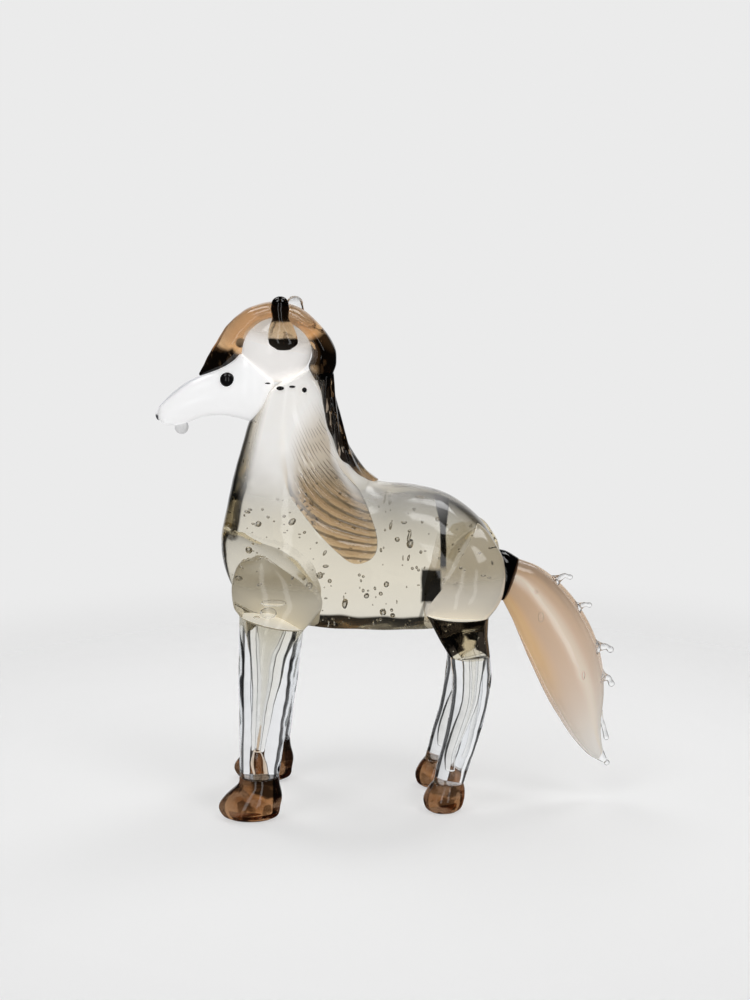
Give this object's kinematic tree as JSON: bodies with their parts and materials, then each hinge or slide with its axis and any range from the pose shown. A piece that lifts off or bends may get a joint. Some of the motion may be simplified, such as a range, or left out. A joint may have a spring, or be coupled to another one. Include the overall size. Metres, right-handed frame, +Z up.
{
  "type": "glass horse figurine",
  "caption": "Standing hot-worked glass horse with a seeded smoky body, white opal head, amber mane and hooves, clear cased legs and a barbed opaline tail.",
  "frame": {"origin": "on the ground, under the middle of the overall box", "axes": "+Z up, -X towards the muzzle, +X towards the tail, -Y towards the horse's left side"},
  "size_m": [0.1324, 0.0466, 0.1498],
  "materials": {
    "smoky_glass": "fire-polished smoky grey-beige glass full of small air seeds",
    "clear_glass": "fire-polished colourless glass, faintly blue",
    "milky_clear_glass": "fire-polished clear glass with a faint milky veil",
    "opal_glass": "white opal glass, glossy and nearly opaque",
    "amber_glass": "transparent honey amber to brown glass, dark where it is thick",
    "umber_glass": "very dark brown transparent glass",
    "opaline_glass": "tan to peach opaline glass, streaked lengthways, fading to white",
    "black_glass": "opaque black glass, glossy"
  },
  "bodies": {
    "root": {"body_gather": "smoky_glass", "skull": "milky_clear_glass", "muzzle": "opal_glass", "lower_lip": "opal_glass", "forelock": "amber_glass", "mane_crest": "amber_glass", "mane_lobe": "amber_glass", "tail_root": "umber_glass", "tail_core": "opaline_glass", "tail_casing": "clear_glass", "tail_tip": "clear_glass", "tail_barb_1": "clear_glass", "tail_barb_2": "clear_glass", "tail_barb_3": "clear_glass", "tail_barb_4": "clear_glass", "tail_barb_5": "clear_glass", "eye_left": "black_glass", "shoulder_left": "smoky_glass", "front_leg_casing_left": "clear_glass", "front_leg_core_left": "smoky_glass", "front_spur_left": "amber_glass", "front_hoof_left": "amber_glass", "haunch_left": "smoky_glass", "gaskin_left": "smoky_glass", "hind_leg_casing_left": "clear_glass", "hind_leg_core_left": "smoky_glass", "hind_hoof_left": "amber_glass", "eye_right": "black_glass", "shoulder_right": "smoky_glass", "front_leg_casing_right": "clear_glass", "front_leg_core_right": "smoky_glass", "front_spur_right": "amber_glass", "front_hoof_right": "amber_glass", "haunch_right": "smoky_glass", "gaskin_right": "smoky_glass", "hind_leg_casing_right": "clear_glass", "hind_leg_core_right": "smoky_glass", "hind_hoof_right": "amber_glass", "ear_left": "amber_glass", "ear_right": "clear_glass"}
  },
  "joints": []
}
